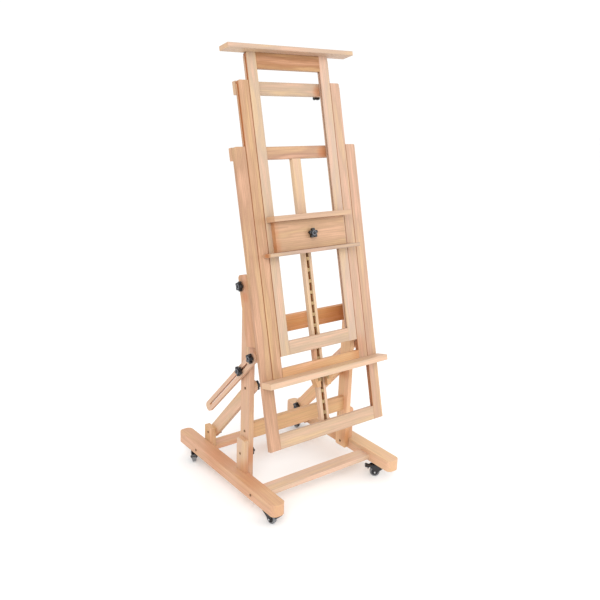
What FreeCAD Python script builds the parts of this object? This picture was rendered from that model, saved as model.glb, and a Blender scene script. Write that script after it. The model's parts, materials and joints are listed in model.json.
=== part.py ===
import FreeCAD, Part
import Sketcher
import os
import re

# Studio easel on four castors. +Z up, floor at z = 0, front toward -Y.
# Millimetres throughout; the picture frame is drawn upright in its own
# axes (x across, y up the frame, z out of its face) and then leaned back.

doc = FreeCAD.newDocument("easel")
sheet = doc.addObject("Spreadsheet::Sheet", "dims")

dimensions = {
    "ease": 1.4,
    "gap": 0.3,
    # base frame
    "runner_inner": 285, "runner_outer": 350,
    "runner_front": -398, "runner_back": 392.5,
    "runner_low": 64, "runner_high": 118, "runner_corner": 24,
    "front_bar_front": -267.5, "front_bar_back": -201.5,
    "front_bar_low": 75, "front_bar_high": 97,
    "rear_bar_low": 78, "rear_bar_high": 100,
    "pivot_line": -83.9, "pivot_height": 944.2,
    "upright_inner": 261, "upright_half": 33.5, "upright_low": 72,
    "front_post_outer": 306, "front_post_high": 268,
    "rear_post_line": 224, "rear_post_half": 31.5,
    "rear_post_low": 72, "rear_post_high": 190,
    "rail_front": -94.9, "rail_back": -72.9,
    "lower_rail_low": 261, "lower_rail_high": 331,
    "upper_rail_low": 714, "upper_rail_high": 785,
    "brace_inner": 239, "brace_half": 27,
    "brace_lower_line": 223.5, "brace_lower_height": 162,
    "brace_upper_height": 497, "brace_foot": 6,
    # bolts and knobs
    "bolt_radius": 4, "bolt_hole": 4.1, "pin_hole": 4.05,
    "bolt_head": 5.4, "bolt_head_high": 1.8,
    "foot_bolt_height": 96, "rail_bolt_height": 299,
    "post_bolt_height": 199, "bar_bolt_height": 88,
    "knob_neck": 9, "knob_neck_high": 6, "knob_hub": 13,
    "knob_hub_high": 14, "knob_lobe": 6.9, "knob_pitch": 14.2,
    "knob_lobe_high": 11.5,
    # picture frame: outer, middle and inner panels
    "tilt": 14.1, "pivot_up": 675.5, "pivot_back": 66,
    "stile_outer": 308, "stile_mid": 256, "stile_in": 206,
    "stile_core": 158, "joint_gap": 1.3, "stile_corner": 9,
    "outer_front": -1.2, "outer_back": -21.2, "outer_rear": -41.8,
    "middle_front": -0.6, "middle_back": -20.6, "middle_rear": -41.2,
    "inner_front": 0, "inner_back": -20,
    "groove_depth": 7, "tongue_reach": 6,
    "groove_back": -13.6, "groove_front": -6.8,
    "tongue_back": -13.2, "tongue_front": -7.2,
    "outer_top": 1215.5, "outer_rail_top": 59, "outer_rear_rail_low": 1165,
    "middle_low": 264, "middle_top": 1472, "middle_rail_top": 323,
    "middle_rear_rail_low": 1420,
    "inner_low": 372, "inner_top": 1580, "inner_rail_top": 428,
    "inner_top_rail_low": 1518,
    "mast_half": 22, "mast_back": -43,
    "rack_half": 8.5, "rack_low": 38, "rack_high": 797,
    "rack_back": -23.2, "rack_front": -21.6, "rack_groove": -36,
    "window_half": 5.6, "window_low": 50.9, "window_high": 33,
    "window_pitch": 47, "window_count": 16,
    "side_low": 362, "side_top": 720, "side_back": -86,
    "side_inner": 285.3, "side_corner": 16, "side_round": 26,
    "side_shoulder": 428, "tongue_face": 293.7,
    # canvas ledges
    "ledge_half": 312, "ledge_deep": 64, "ledge_low": 264, "ledge_high": 288,
    "top_ledge_half": 309, "top_ledge_back": -20, "top_ledge_deep": 46,
    "top_ledge_low": 1580, "top_ledge_high": 1598,
    # canvas holder
    "holder_half": 180, "holder_deep": 24,
    "holder_low": 791, "holder_high": 913, "holder_knob_up": 853,
    "board_half": 198, "board_deep": 57, "board_high": 935,
    "lip_half": 233, "lip_deep": 53, "lip_low": 776,
    "clamp_low": 822, "clamp_high": 884,
    # tilt braces
    "pin_up": 383.5, "pin_back": 55, "clamp_height": 581.5,
    "slot_inner": 294, "slot_outer": 308, "slot_half": 22,
    "slot_end": 512, "slot_start": 50, "slot_stop": 474, "slot_width": 9,
    # ratchet pawl
    "pawl_up": 259.5, "pawl_forward": -8, "pawl_pin": 2.4,
    "cheek_near": 17, "cheek_top": 52, "cheek_bottom": 36,
    "cheek_low": 208, "cheek_deep": 13,
    # castors
    "castor_across": 317.5, "castor_front": -311.5, "castor_rear": 304.5,
    "plate_low": 61, "plate_half_across": 23, "plate_half_along": 31,
    "wheel_radius": 22.5, "wheel_half": 9, "trail": 26,
    "cheek_inner": 10.4, "cheek_outer": 13.6,
    "fork_low": 48, "fork_high": 60.5, "fork_disc": 18,
    "axle_radius": 3, "axle_hole": 3.06,
    "pedal_along": 45, "pedal_height": 50.5,
}

formulas = {
    "frame_line": "=pivot_line - pivot_up * sin(tilt * 1deg)"
                  " - pivot_back * cos(tilt * 1deg)",
    "frame_height": "=pivot_height - pivot_up * cos(tilt * 1deg)"
                    " + pivot_back * sin(tilt * 1deg)",
    "pin_line": "=frame_line + pin_up * sin(tilt * 1deg)"
                " + pin_back * cos(tilt * 1deg)",
    "pin_height": "=frame_height + pin_up * cos(tilt * 1deg)"
                  " - pin_back * sin(tilt * 1deg)",
    "slot_drop": "=atan((pin_height - clamp_height)"
                 " / (pivot_line - pin_line)) / 1deg",
    "clamp_reach": "=sqrt((pin_height - clamp_height) ^ 2"
                   " + (pivot_line - pin_line) ^ 2)",
    "brace_rise": "=atan((brace_upper_height - brace_lower_height)"
                  " / (brace_lower_line - pivot_line)) / 1deg",
    "brace_length": "=sqrt((brace_upper_height - brace_lower_height) ^ 2"
                    " + (brace_lower_line - pivot_line) ^ 2)",
}

for row, (alias, number) in enumerate({**dimensions, **formulas}.items(), 1):
    sheet.set(f"A{row}", alias)
    sheet.set(f"B{row}", str(number))
    sheet.setAlias(f"B{row}", alias)
doc.recompute()

functions = ("sin", "cos", "sqrt", "atan", "deg")
nodes = []


def bind(text):
    """Expression on the sheet for a plain formula in alias names."""
    def reach(match):
        word = match.group(0)
        return word if word in functions else "dims." + word
    return re.sub(r"[a-z_]{2,}", reach, str(text))


def value(text):
    return float(sheet.evalExpression(bind(text)))


def minus(text):
    return f"-({text})"


def span(side, near, far):
    """Start and end across the easel, mirrored for the left side."""
    return (near, far) if side > 0 else (minus(far), minus(near))


def node(name):
    body = doc.addObject("PartDesign::Body", name)
    body.Label = name
    body.AllowCompound = True
    nodes.append(body)
    return body


def sketch_on(body, plane, offset):
    sketch = body.newObject("Sketcher::SketchObject", "profile")
    planes = [item for item in body.Origin.OriginFeatures
              if item.Role == plane + "_Plane"]
    sketch.AttachmentSupport = [(planes[0], "")]
    sketch.MapMode = "FlatFace"
    sketch.setExpression("AttachmentOffset.Base.z", bind(offset))
    return sketch


def pin_point(sketch, index, corner, x, y):
    for kind, text in (("DistanceX", x), ("DistanceY", y)):
        number = sketch.addConstraint(
            Sketcher.Constraint(kind, -1, 1, index, corner, value(text)))
        sketch.setExpression(f"Constraints[{number}]", bind(text))


def draw(sketch, shape):
    """Closed outline from points, or circles from (x, y, radius)."""
    if len(shape[0]) == 3:
        for index, (x, y, radius) in enumerate(shape):
            centre = FreeCAD.Vector(value(x), value(y), 0)
            sketch.addGeometry(Part.Circle(
                centre, FreeCAD.Vector(0, 0, 1), value(radius)), False)
            pin_point(sketch, index, 3, x, y)
            number = sketch.addConstraint(
                Sketcher.Constraint("Radius", index, value(radius)))
            sketch.setExpression(f"Constraints[{number}]", bind(radius))
        return
    count = len(shape)
    ends = [FreeCAD.Vector(value(x), value(y), 0) for x, y in shape]
    for index in range(count):
        sketch.addGeometry(Part.LineSegment(
            ends[index], ends[(index + 1) % count]), False)
    for index in range(count):
        sketch.addConstraint(Sketcher.Constraint(
            "Coincident", index, 2, (index + 1) % count, 1))
    for index, (x, y) in enumerate(shape):
        pin_point(sketch, index, 1, x, y)


def prism(body, plane, shape, start, end):
    flip = plane == "XZ"
    sketch = sketch_on(body, plane, minus(start) if flip else start)
    draw(sketch, shape)
    pad = body.newObject("PartDesign::Pad", "pad")
    pad.Profile = sketch
    pad.Reversed = flip
    pad.setExpression("Length", bind(f"({end}) - ({start})"))
    body.Tip = pad
    doc.recompute()
    return pad


def hollow(body, plane, shape, start, end):
    flip = plane == "XZ"
    sketch = sketch_on(body, plane, minus(start) if flip else end)
    draw(sketch, shape)
    pocket = body.newObject("PartDesign::Pocket", "pocket")
    pocket.Profile = sketch
    pocket.setExpression("Length", bind(f"({end}) - ({start})"))
    body.Tip = pocket
    doc.recompute()
    return pocket


def box(low_x, high_x, low_y, high_y):
    return [(low_x, low_y), (high_x, low_y), (high_x, high_y),
            (low_x, high_y)]


def along(edge, axis):
    line = edge.Curve
    if line.TypeId != "Part::GeomLine":
        return False
    return abs(getattr(line.Direction, axis)) > 0.999


def dress(body, kind, size, pick):
    """Fillet or chamfer on the edges that pick accepts."""
    base = body.Tip
    names = [f"Edge{number}"
             for number, edge in enumerate(base.Shape.Edges, 1)
             if pick(edge)]
    feature = body.newObject("PartDesign::" + kind, kind.lower())
    feature.Base = (base, names)
    feature.setExpression("Radius" if kind == "Fillet" else "Size",
                          bind(size))
    body.Tip = feature
    doc.recompute()
    return feature


def ease(body, axis):
    """Small chamfer on the long outside corners of a board."""
    bounds = body.Tip.Shape.BoundBox
    others = [name for name in "xyz" if name != axis]

    def outside(edge):
        if not along(edge, axis) or edge.Length < 30:
            return False
        middle = edge.BoundBox.Center
        for name in others:
            low = getattr(bounds, name.upper() + "Min")
            high = getattr(bounds, name.upper() + "Max")
            place = getattr(middle, name)
            if min(abs(place - low), abs(place - high)) > 0.01:
                return False
        return True

    dress(body, "Chamfer", "ease", outside)


def lean(body):
    """Place a piece drawn upright onto the leaning frame."""
    body.Placement = FreeCAD.Placement(
        FreeCAD.Vector(0, 0, 0),
        FreeCAD.Rotation(FreeCAD.Vector(1, 0, 0), 90 - value("tilt")))
    body.setExpression("Placement.Base.y", bind("frame_line"))
    body.setExpression("Placement.Base.z", bind("frame_height"))
    body.setExpression("Placement.Rotation.Angle", bind("90 - tilt"))


def star(body, plane, face, way, x, y, bore=None):
    """Five-lobed knob standing on a face, pointing to +1 or -1."""
    def layer(shape, low, high):
        if way > 0:
            prism(body, plane, shape, f"{face} + {low}", f"{face} + {high}")
        else:
            prism(body, plane, shape, f"{face} - ({high})",
                  f"{face} - ({low})")

    layer([(x, y, "knob_neck")], "0", "knob_neck_high + 1")
    layer([(x, y, "knob_hub")], "knob_neck_high",
          "knob_neck_high + knob_hub_high")
    lobes = []
    for turn in range(5):
        angle = 90 + 72 * turn
        lobes.append((f"{x} + knob_pitch * cos({angle} * 1deg)",
                      f"{y} + knob_pitch * sin({angle} * 1deg)",
                      "knob_lobe"))
    layer(lobes, "knob_neck_high",
          "knob_neck_high + knob_lobe_high")
    if bore:
        hollow(body, plane, [(x, y, "bolt_hole")],
               *((face, f"{face} + {bore}") if way > 0
                 else (f"{face} - {bore}", face)))


sides = (("left", -1), ("right", 1))

# ---- base: runners, crossbars, uprights, posts, braces, rails

for name, side in sides:
    runner = node("runner_" + name)
    prism(runner, "XY",
          box(*span(side, "runner_inner", "runner_outer"),
              "runner_front", "runner_back"), "runner_low", "runner_high")
    dress(runner, "Fillet", "runner_corner",
          lambda edge: along(edge, "z"))
    dress(runner, "Chamfer", "ease",
          lambda edge: along(edge, "y") and edge.Length > 300)
    hollow(runner, "YZ",
           [("(front_bar_front + front_bar_back) / 2", "bar_bolt_height",
             "bolt_hole"),
            ("rear_post_line", "bar_bolt_height", "bolt_hole"),
            ("pivot_line", "foot_bolt_height", "bolt_hole")],
           *span(side, "runner_inner - 1", "runner_outer + 1"))

front_bar = node("front_crossbar")
prism(front_bar, "XY",
      box("-runner_inner", "runner_inner", "front_bar_front",
          "front_bar_back"), "front_bar_low", "front_bar_high")
ease(front_bar, "x")
rear_bar = node("rear_crossbar")
prism(rear_bar, "XY",
      box("-upright_inner", "upright_inner",
          "rear_post_line - rear_post_half",
          "rear_post_line + rear_post_half"),
      "rear_bar_low", "rear_bar_high")
ease(rear_bar, "x")
for bar, end, middle in (
        (front_bar, "runner_inner",
         "(front_bar_front + front_bar_back) / 2"),
        (rear_bar, "upright_inner", "rear_post_line")):
    for name, side in sides:
        hollow(bar, "YZ", [(middle, "bar_bolt_height", "bolt_hole")],
               *span(side, f"{end} - 41", end))

for name, side in sides:
    upright = node("upright_" + name)
    prism(upright, "YZ",
          box("pivot_line - upright_half", "pivot_line + upright_half",
              "upright_low", "pivot_height + upright_half"),
          *span(side, "upright_inner", "runner_inner"))
    ease(upright, "z")
    top = value("pivot_height")
    dress(upright, "Fillet", "upright_half - 0.1",
          lambda edge: along(edge, "x") and edge.Length > 10
          and edge.BoundBox.ZMax > top)
    dress(upright, "Chamfer", "7",
          lambda edge: along(edge, "x") and edge.Length > 10
          and edge.BoundBox.ZMax < 80 and edge.BoundBox.YMax > -60)
    hollow(upright, "YZ",
           [("pivot_line", "pivot_height", "pin_hole"),
            ("pivot_line", "brace_upper_height", "bolt_hole"),
            ("pivot_line", "rail_bolt_height", "bolt_hole"),
            ("pivot_line", "post_bolt_height", "bolt_hole"),
            ("pivot_line", "foot_bolt_height", "bolt_hole")],
           *span(side, "upright_inner - 1", "runner_inner + 1"))

for name, side in sides:
    post = node("front_post_" + name)
    prism(post, "YZ",
          box("pivot_line - upright_half", "pivot_line + upright_half - 4",
              "runner_high", "front_post_high"),
          *span(side, "runner_inner", "front_post_outer"))
    ease(post, "z")
    dress(post, "Fillet", "12",
          lambda edge: along(edge, "x") and edge.Length > 10
          and edge.BoundBox.ZMin > 250)
    hollow(post, "YZ", [("pivot_line", "post_bolt_height", "bolt_hole")],
           *span(side, "runner_inner - 1", "front_post_outer + 1"))

for name, side in sides:
    post = node("rear_post_" + name)
    prism(post, "YZ",
          box("rear_post_line - rear_post_half",
              "rear_post_line + rear_post_half",
              "rear_post_low", "rear_post_high"),
          *span(side, "upright_inner", "runner_inner"))
    ease(post, "z")
    top = value("rear_post_high - 2")
    dress(post, "Fillet", "4",
          lambda edge: along(edge, "x") and edge.Length > 10
          and edge.BoundBox.ZMin > top)
    hollow(post, "YZ",
           [("brace_lower_line", "brace_lower_height", "bolt_hole"),
            ("rear_post_line", "bar_bolt_height", "bolt_hole")],
           *span(side, "upright_inner - 1", "runner_inner + 1"))

for name, side in sides:
    brace = node("diagonal_brace_" + name)
    prism(brace, "YZ",
          box("-brace_half - brace_foot", "brace_length + brace_half",
              "-brace_half", "brace_half"),
          *span(side, "brace_inner", "upright_inner"))
    ease(brace, "y")
    dress(brace, "Fillet", "brace_half - 0.1",
          lambda edge: along(edge, "x") and edge.Length > 10)
    hollow(brace, "YZ",
           [("0", "0", "bolt_hole"), ("brace_length", "0", "bolt_hole")],
           *span(side, "brace_inner - 1", "upright_inner + 1"))
    brace.Placement = FreeCAD.Placement(
        FreeCAD.Vector(0, 0, 0),
        FreeCAD.Rotation(FreeCAD.Vector(1, 0, 0), 120))
    brace.setExpression("Placement.Base.y", bind("brace_lower_line"))
    brace.setExpression("Placement.Base.z", bind("brace_lower_height"))
    brace.setExpression("Placement.Rotation.Angle",
                        bind("180 - brace_rise"))

for name in ("lower", "upper"):
    rail = node(name + "_cross_rail")
    prism(rail, "XY",
          box("-upright_inner", "upright_inner", "rail_front", "rail_back"),
          name + "_rail_low", name + "_rail_high")
    ease(rail, "x")
    if name == "lower":
        for _, side in sides:
            hollow(rail, "YZ", [("pivot_line", "rail_bolt_height",
                                 "bolt_hole")],
                   *span(side, "upright_inner - 31", "upright_inner"))

# Each bolt: line, height, head face, shank end, all measured outward.
bolts = node("base_bolts")
bolt_list = (
    ("(front_bar_front + front_bar_back) / 2", "bar_bolt_height",
     "runner_outer", "runner_inner - 40"),
    ("rear_post_line", "bar_bolt_height", "runner_outer",
     "upright_inner - 40"),
    ("pivot_line", "rail_bolt_height", "runner_inner",
     "upright_inner - 30"),
    ("brace_lower_line", "brace_lower_height", "runner_inner",
     "brace_inner - 14"),
    ("pivot_line", "brace_upper_height", "runner_inner",
     "brace_inner - 14"),
    ("pivot_line", "post_bolt_height", "front_post_outer",
     "upright_inner - 14"),
)
for name, side in sides:
    for line, height, face, end in bolt_list:
        prism(bolts, "YZ", [(line, height, "bolt_head")],
              *span(side, face, f"{face} + bolt_head_high"))
        prism(bolts, "YZ", [(line, height, "bolt_radius")],
              *span(side, end, face))
    prism(bolts, "YZ", [("pivot_line", "foot_bolt_height", "bolt_head")],
          *span(side, "upright_inner - bolt_head_high", "upright_inner"))
    prism(bolts, "YZ", [("pivot_line", "foot_bolt_height", "bolt_radius")],
          *span(side, "upright_inner", "runner_inner + 30"))

base_knobs = node("base_knobs")
for name, side in sides:
    for line, height, face in (
            ("brace_lower_line", "brace_lower_height", "brace_inner"),
            ("pivot_line", "brace_upper_height", "brace_inner"),
            ("pivot_line", "post_bolt_height", "upright_inner")):
        star(base_knobs, "YZ", face if side > 0 else "-" + face, -side,
             line, height, bore="14.2")

# ---- castors

# Each castor: side, swivel line, and the way it trails about its axis.
corners = (("front_left", -1, "castor_front", 190),
           ("front_right", 1, "castor_front", 50),
           ("rear_left", -1, "castor_rear", 155),
           ("rear_right", 1, "castor_rear", 110))

plates = node("caster_plates")
for name, across, y, turn in corners:
    x = "castor_across" if across > 0 else "-castor_across"
    prism(plates, "XY",
          box(f"{x} - plate_half_across", f"{x} + plate_half_across",
              f"{y} - plate_half_along", f"{y} + plate_half_along"),
          "plate_low", "runner_low")
    prism(plates, "XY", [(x, y, "bolt_radius")], "fork_low + 2",
          "plate_low")
dress(plates, "Fillet", "5",
      lambda edge: along(edge, "z") and edge.Length < 4)


def seat(body, across, line, turn):
    """Stand a castor piece on its swivel axis, turned about it."""
    body.Placement = FreeCAD.Placement(
        FreeCAD.Vector(0, 0, 0),
        FreeCAD.Rotation(FreeCAD.Vector(0, 0, 1), turn))
    body.setExpression("Placement.Base.x",
                       bind(f"{across} * castor_across"))
    body.setExpression("Placement.Base.y", bind(line))


for name, across, line, turn in corners:
    fork = node("caster_fork_" + name)
    prism(fork, "XY", [("0", "0", "fork_disc")], "fork_low + 6",
          "fork_high")
    prism(fork, "YZ",
          box("-15", "trail + 13", "fork_low", "fork_low + 9"),
          "-cheek_outer", "cheek_outer")
    cheek = [("-15", "fork_low + 9"), ("-15", "fork_low - 3"),
             ("trail - 8", "wheel_radius - 3"),
             ("trail - 4", "wheel_radius - 7"),
             ("trail + 4", "wheel_radius - 7"),
             ("trail + 8", "wheel_radius - 2"),
             ("trail + 11", "fork_low - 9"),
             ("pedal_along + 5", "pedal_height - 5"),
             ("pedal_along + 5", "pedal_height + 3"),
             ("pedal_along", "pedal_height + 6"),
             ("trail + 13", "fork_low + 9")]
    for name_side, side in sides:
        prism(fork, "YZ", cheek, *span(side, "cheek_inner", "cheek_outer"))
    prism(fork, "YZ", [("trail", "wheel_radius", "axle_radius")],
          "-cheek_outer - 1.5", "cheek_outer + 1.5")
    prism(fork, "YZ", [("trail", "wheel_radius", "5")],
          "cheek_outer", "cheek_outer + 2")
    prism(fork, "YZ", [("trail", "wheel_radius", "5")],
          "-cheek_outer - 2", "-cheek_outer")
    prism(fork, "YZ", [("pedal_along", "pedal_height", "2")],
          "-cheek_outer", "cheek_outer")
    hollow(fork, "XY", [("0", "0", "pin_hole")], "fork_low - 1",
           "fork_high + 1")
    seat(fork, across, line, turn)

for name, across, line, turn in corners:
    wheel = node("caster_wheel_" + name)
    prism(wheel, "YZ", [("trail", "wheel_radius", "wheel_radius")],
          "-wheel_half", "wheel_half")
    dress(wheel, "Chamfer", "2.6", lambda edge: True)
    for name_side, side in sides:
        hollow(wheel, "YZ", [("trail", "wheel_radius", "14.5")],
               *span(side, "wheel_half - 2.5", "wheel_half + 1"))
        prism(wheel, "YZ", [("trail", "wheel_radius", "6")],
              *span(side, "wheel_half - 3", "wheel_half + 1"))
    hollow(wheel, "YZ", [("trail", "wheel_radius", "axle_hole")],
           "-wheel_half - 2", "wheel_half + 2")
    seat(wheel, across, line, turn)

for name, across, line, turn in corners:
    pedal = node("brake_pedal_" + name)
    prism(pedal, "YZ", [("pedal_along", "pedal_height", "4.4")],
          "-cheek_inner + 0.4", "cheek_inner - 0.4")
    prism(pedal, "YZ",
          [("pedal_along", "pedal_height - 4"),
           ("pedal_along + 8", "pedal_height - 6"),
           ("pedal_along + 11", "pedal_height - 13"),
           ("pedal_along + 15", "pedal_height - 13"),
           ("pedal_along + 16", "pedal_height - 5"),
           ("pedal_along + 25", "pedal_height - 4"),
           ("pedal_along + 28", "pedal_height - 1"),
           ("pedal_along + 24", "pedal_height + 4"),
           ("pedal_along + 12", "pedal_height + 2"),
           ("pedal_along", "pedal_height + 4")],
          "-cheek_inner + 0.4", "cheek_inner - 0.4")
    prism(pedal, "YZ",
          [("pedal_along + 14", "pedal_height - 5.2"),
           ("pedal_along + 25", "pedal_height - 4"),
           ("pedal_along + 28", "pedal_height - 1"),
           ("pedal_along + 24", "pedal_height + 4"),
           ("pedal_along + 14", "pedal_height + 2.3")],
          "-cheek_outer", "cheek_outer")
    hollow(pedal, "YZ", [("pedal_along", "pedal_height", "2.05")],
           "-cheek_outer - 1", "cheek_outer + 1")
    seat(pedal, across, line, turn)

# ---- leaning frame


def stile(name, side, near, far, front, back, low, high, groove, tongue):
    """Upright of a panel, tongued and grooved to slide in the next."""
    points = [(f"{near} + ease", back), (f"{far} - ease", back),
              (far, f"{back} + ease")]
    if tongue:
        points += [(far, "tongue_back"), (f"{far} + tongue_reach",
                                          "tongue_back"),
                   (f"{far} + tongue_reach", "tongue_front"),
                   (far, "tongue_front")]
    points += [(far, f"{front} - ease"), (f"{far} - ease", front),
               (f"{near} + ease", front), (near, f"{front} - ease")]
    if groove:
        points += [(near, "groove_front"), (f"{near} + groove_depth",
                                            "groove_front"),
                   (f"{near} + groove_depth", "groove_back"),
                   (near, "groove_back")]
    points.append((near, f"{back} + ease"))
    if side < 0:
        points = [(minus(across), out) for across, out in points]
    body = node(name)
    prism(body, "XZ", points, low, high)
    if tongue:
        hollow(body, "XZ",
               box(*span(side, far, f"{far} + tongue_reach + 1"),
                   back, front), f"{high} - 16", f"{high} + 1")
    top = value(high)
    outside = side * value(far)
    dress(body, "Fillet", "stile_corner",
          lambda edge: along(edge, "z")
          and abs(edge.BoundBox.Center.y - top) < 0.1
          and abs(edge.BoundBox.Center.x - outside) < 0.1)
    return body


def rail(name, half, low, high, front, back):
    body = node(name)
    prism(body, "XY", box("-" + half, half, low, high), back, front)
    ease(body, "x")
    return body


for name, side in sides:
    piece = stile("outer_stile_" + name, side, "stile_mid", "stile_outer",
                  "outer_front", "outer_back", "0", "outer_top", True, False)
    lean(piece)
lean(rail("outer_bottom_rail", "stile_mid", "0", "outer_rail_top",
          "outer_front", "outer_back"))
lean(rail("outer_top_rail", "stile_outer", "outer_rear_rail_low",
          "outer_top", "outer_back", "outer_rear"))

mast = node("mast")
prism(mast, "XY",
      box("-mast_half", "mast_half", "0", "outer_rear_rail_low"),
      "mast_back", "outer_back")
ease(mast, "y")
hollow(mast, "XY", box("-rack_half", "rack_half", "rack_low", "rack_high"),
       "rack_back", "outer_back + 1")
hollow(mast, "XY",
       box("-window_half", "window_half", "rack_low + 6", "rack_high - 6"),
       "rack_groove", "rack_back + 1")
lean(mast)

rack = node("ratchet_rack")
prism(rack, "XY", box("-rack_half", "rack_half", "rack_low", "rack_high"),
      "rack_back", "rack_front")
window = hollow(rack, "XY",
                box("-window_half", "window_half", "window_low",
                    "window_low + window_high"),
                "rack_back - 1", "rack_front + 1")
ladder = rack.newObject("PartDesign::LinearPattern", "ladder")
ladder.Originals = [window]
ladder.Direction = (window.Profile[0], ["V_Axis"])
ladder.setExpression("Length", bind("window_pitch * (window_count - 1)"))
ladder.setExpression("Occurrences", bind("window_count"))
rack.Tip = ladder
doc.recompute()
lean(rack)

for name, side in sides:
    board = node("side_board_" + name)
    prism(board, "YZ",
          box("side_low", "side_top", "side_back", "outer_back"),
          *span(side, "side_inner", "stile_outer"))
    low = value("side_low + 1")
    high = value("side_top - 1")
    dress(board, "Fillet", "side_round",
          lambda edge: along(edge, "x") and edge.BoundBox.YMax < low)
    dress(board, "Fillet", "side_corner",
          lambda edge: along(edge, "x") and edge.BoundBox.YMin > high
          and edge.BoundBox.ZMax < -60)
    hollow(board, "YZ",
           box("side_low - 1", "side_shoulder", "side_back - 1",
               "outer_back + 1"),
           *span(side, "tongue_face", "stile_outer + 1"))
    hollow(board, "YZ",
           [("pivot_up", "-pivot_back", "bolt_hole"),
            ("pin_up", "-pin_back", "bolt_hole")],
           *span(side, "side_inner - 1", "stile_outer + 1"))
    lean(board)

frame_knobs = node("frame_knobs")
for name, side in sides:
    face = "stile_outer + gap" if side > 0 else "-stile_outer - gap"
    for up, back, end in (("pivot_up", "-pivot_back", "upright_inner - 6"),
                          ("pin_up", "-pin_back", "side_inner")):
        star(frame_knobs, "YZ", face, side, up, back)
        prism(frame_knobs, "YZ", [(up, back, "bolt_radius")],
              *span(side, end, "stile_outer + gap"))
    prism(frame_knobs, "YZ", [("pivot_up", "-pivot_back", "8")],
          *span(side, "upright_inner - 7", "upright_inner - gap"))
lean(frame_knobs)

for name, side in sides:
    piece = stile("middle_stile_" + name, side, "stile_in",
                  "stile_mid - joint_gap", "middle_front", "middle_back",
                  "middle_low", "middle_top", True, True)
    lean(piece)
middle_rail = rail("middle_bottom_rail", "stile_in", "middle_low",
                   "middle_rail_top", "middle_front", "middle_back")
# Two tapered cheeks under the rail carry the pin of the ratchet pawl.
for name, side in sides:
    for near, top, back, front in (
            ("cheek_near", "middle_low + 3", "middle_back", "middle_front - 2"),
            ("mast_half + 2", "middle_low - 2", "middle_back - cheek_deep",
             "middle_back + 1")):
        cheek = [(near, top), ("cheek_top", top),
                 ("cheek_top", "middle_low - 2"),
                 ("cheek_bottom", "cheek_low"), (near, "cheek_low")]
        if top == "middle_low - 2":
            cheek.pop(1)
        if side < 0:
            cheek = [(minus(across), up) for across, up in cheek]
        prism(middle_rail, "XY", cheek, back, front)
hollow(middle_rail, "YZ", [("pawl_up", "pawl_forward", "pawl_pin + 0.05")],
       "-34", "34")
lean(middle_rail)
middle_top = rail("middle_top_rail", "stile_mid", "middle_rear_rail_low",
                  "middle_top", "middle_back", "middle_rear")
hollow(middle_top, "XY", [("-165", "1430", "pin_hole"),
                          ("165", "1430", "pin_hole")],
       "middle_rear - 1", "middle_back + 1")
lean(middle_top)
lean(rail("canvas_ledge", "ledge_half", "ledge_low", "ledge_high",
          "ledge_deep", "middle_front"))

pawl = node("ratchet_pawl")
prism(pawl, "YZ",
      [("pawl_up + 3", "pawl_forward + 3"),
       ("pawl_up + 3", "pawl_forward - 3"),
       ("pawl_up - 5", "pawl_forward - 8"),
       ("pawl_up - 9", "pawl_forward - 12.4"),
       ("pawl_up - 17", "pawl_forward - 12.4"),
       ("pawl_up - 17", "pawl_forward - 9"),
       ("pawl_up - 10", "pawl_forward + 1"),
       ("pawl_up - 4", "pawl_forward + 5")], "-4.8", "4.8")
prism(pawl, "YZ",
      [("pawl_up + 1", "pawl_forward + 2"),
       ("pawl_up - 4", "pawl_forward + 5"),
       ("pawl_up - 9", "pawl_forward + 26"),
       ("pawl_up - 7", "pawl_forward + 27")], "-16", "16")
prism(pawl, "YZ", [("pawl_up", "pawl_forward", "pawl_pin")], "-32", "32")
lean(pawl)

for name, side in sides:
    piece = stile("inner_stile_" + name, side, "stile_core",
                  "stile_in - joint_gap", "inner_front", "inner_back",
                  "inner_low", "inner_top", True, True)
    lean(piece)
lean(rail("inner_bottom_rail", "stile_core", "inner_low",
          "inner_rail_top", "inner_front", "inner_back"))
lean(rail("inner_top_rail", "stile_core", "inner_top_rail_low",
          "inner_top", "inner_front", "inner_back"))
lean(rail("top_ledge", "top_ledge_half", "top_ledge_low",
          "top_ledge_high", "top_ledge_deep", "top_ledge_back"))

for name, side in sides:
    lock = node("top_lock_knob_" + name)
    across = "165" if side > 0 else "-165"
    star(lock, "XY", "middle_rear - gap", -1, across, "1430")
    prism(lock, "XY", [(across, "1430", "bolt_radius")],
          "middle_rear - gap", "middle_back - 0.2")
    lean(lock)

holder = rail("holder_panel", "holder_half", "holder_low", "holder_high",
              "holder_deep + gap", "gap")
hollow(holder, "XY", [("0", "holder_knob_up", "pin_hole")], "-1",
       "holder_deep + 1")
lean(holder)
lean(rail("holder_top_board", "board_half", "holder_high", "board_high",
          "board_deep", "gap"))
lean(rail("holder_lip", "lip_half", "lip_low", "holder_low",
          "lip_deep", "gap"))
clamp = node("holder_clamp_bar")
prism(clamp, "XZ",
      [("-stile_core + joint_gap", "inner_back + 0.4"),
       ("stile_core - joint_gap", "inner_back + 0.4"),
       ("stile_core - joint_gap", "tongue_back"),
       ("stile_core + tongue_reach - joint_gap", "tongue_back"),
       ("stile_core + tongue_reach - joint_gap", "tongue_front"),
       ("stile_core - joint_gap", "tongue_front"),
       ("stile_core - joint_gap", "-gap"),
       ("-stile_core + joint_gap", "-gap"),
       ("-stile_core + joint_gap", "tongue_front"),
       ("-stile_core - tongue_reach + joint_gap", "tongue_front"),
       ("-stile_core - tongue_reach + joint_gap", "tongue_back"),
       ("-stile_core + joint_gap", "tongue_back")],
      "clamp_low", "clamp_high")
hollow(clamp, "XY", [("0", "holder_knob_up", "pin_hole")],
       "inner_back", "1")
lean(clamp)
holder_knob = node("holder_knob")
star(holder_knob, "XY", "holder_deep + 2 * gap", 1, "0", "holder_knob_up")
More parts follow.
